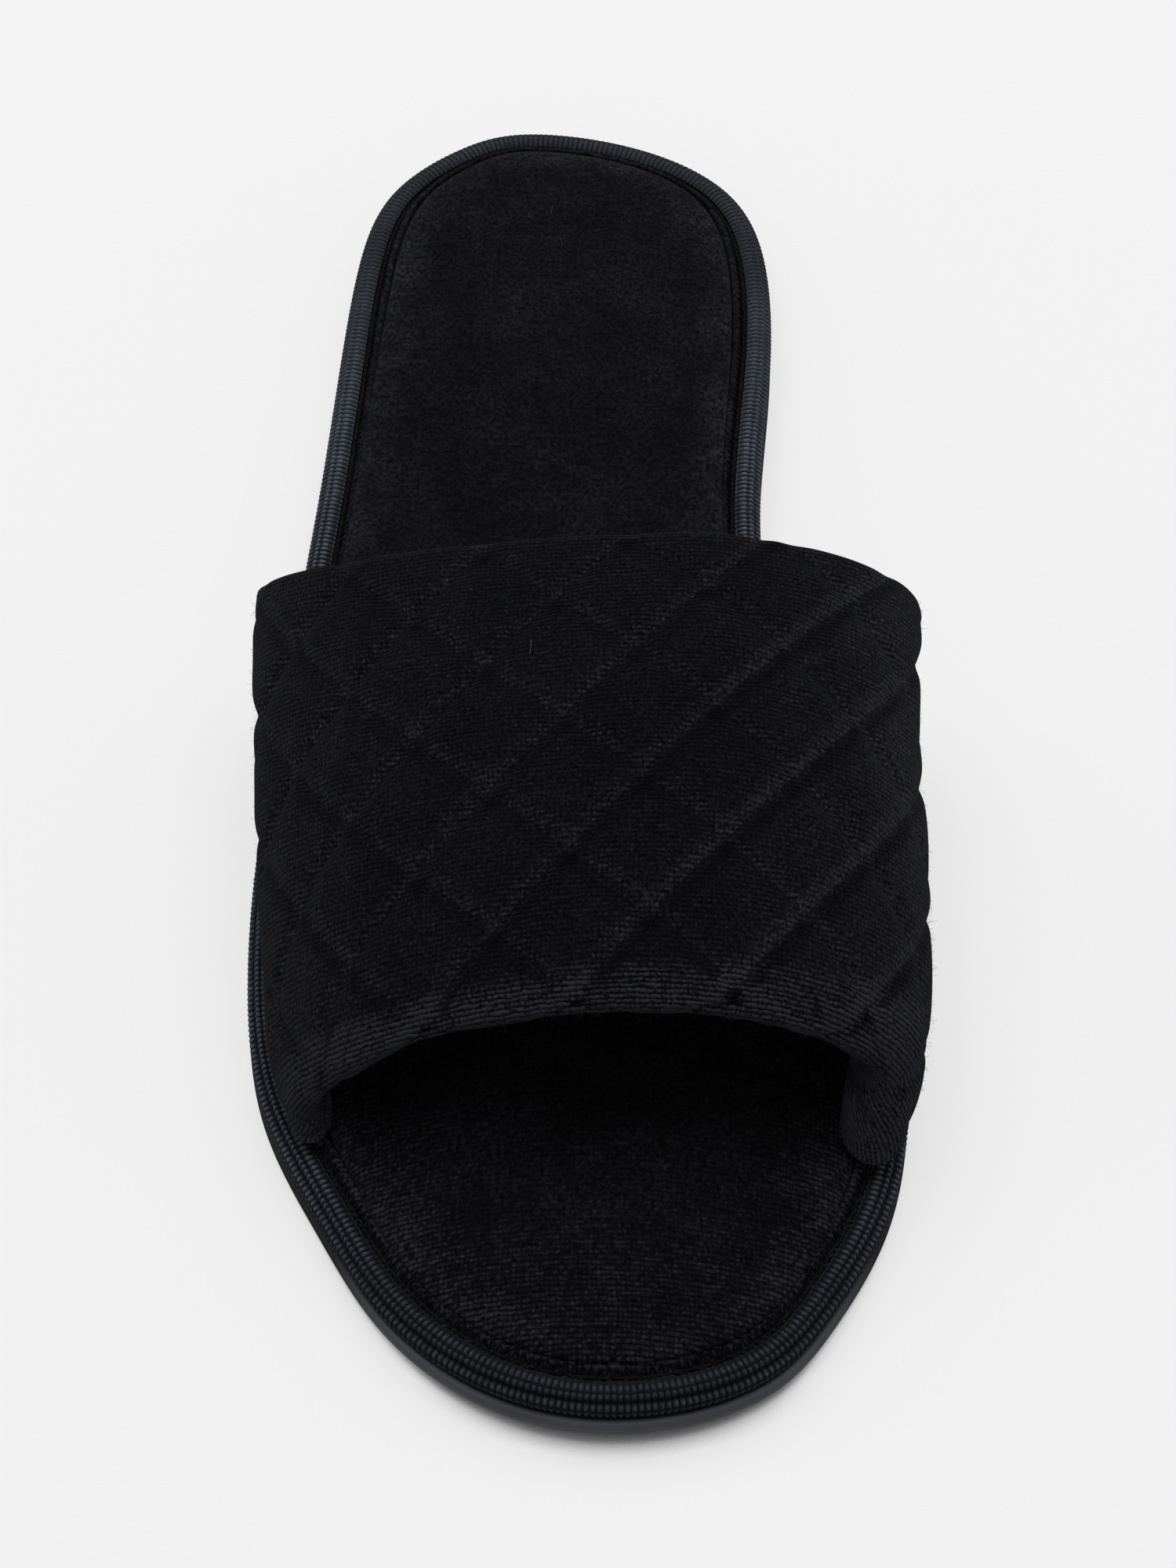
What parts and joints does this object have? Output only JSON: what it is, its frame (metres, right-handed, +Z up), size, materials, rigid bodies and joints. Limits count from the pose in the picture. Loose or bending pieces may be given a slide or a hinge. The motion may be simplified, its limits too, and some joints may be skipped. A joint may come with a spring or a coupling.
{
  "type": "scuff slipper",
  "caption": "Open-toe scuff slipper with a quilted velour band over the forefoot, a padded footbed, a bound edge and a flat outsole.",
  "frame": {"origin": "on the floor, under the middle of the shoe's bounding box", "axes": "+Z up, the toe points to -Y and the heel to +Y, +X is the big-toe side of this right shoe"},
  "size_m": [0.1083, 0.27, 0.0612],
  "materials": {
    "rubber": "dark grey outsole with a fine leather-like grain",
    "board": "insole board with a thin layer of dense foam",
    "knit_tape": "knitted elastic tape with ribs across its length",
    "footbed_velour": "ribbed velour over soft padding",
    "quilted_velour": "finely ribbed velour, quilted in diamonds through padding and lining"
  },
  "bodies": {
    "root": {"outsole": "rubber", "midsole": "board", "binding": "knit_tape", "footbed": "footbed_velour", "upper": "quilted_velour"}
  },
  "joints": []
}
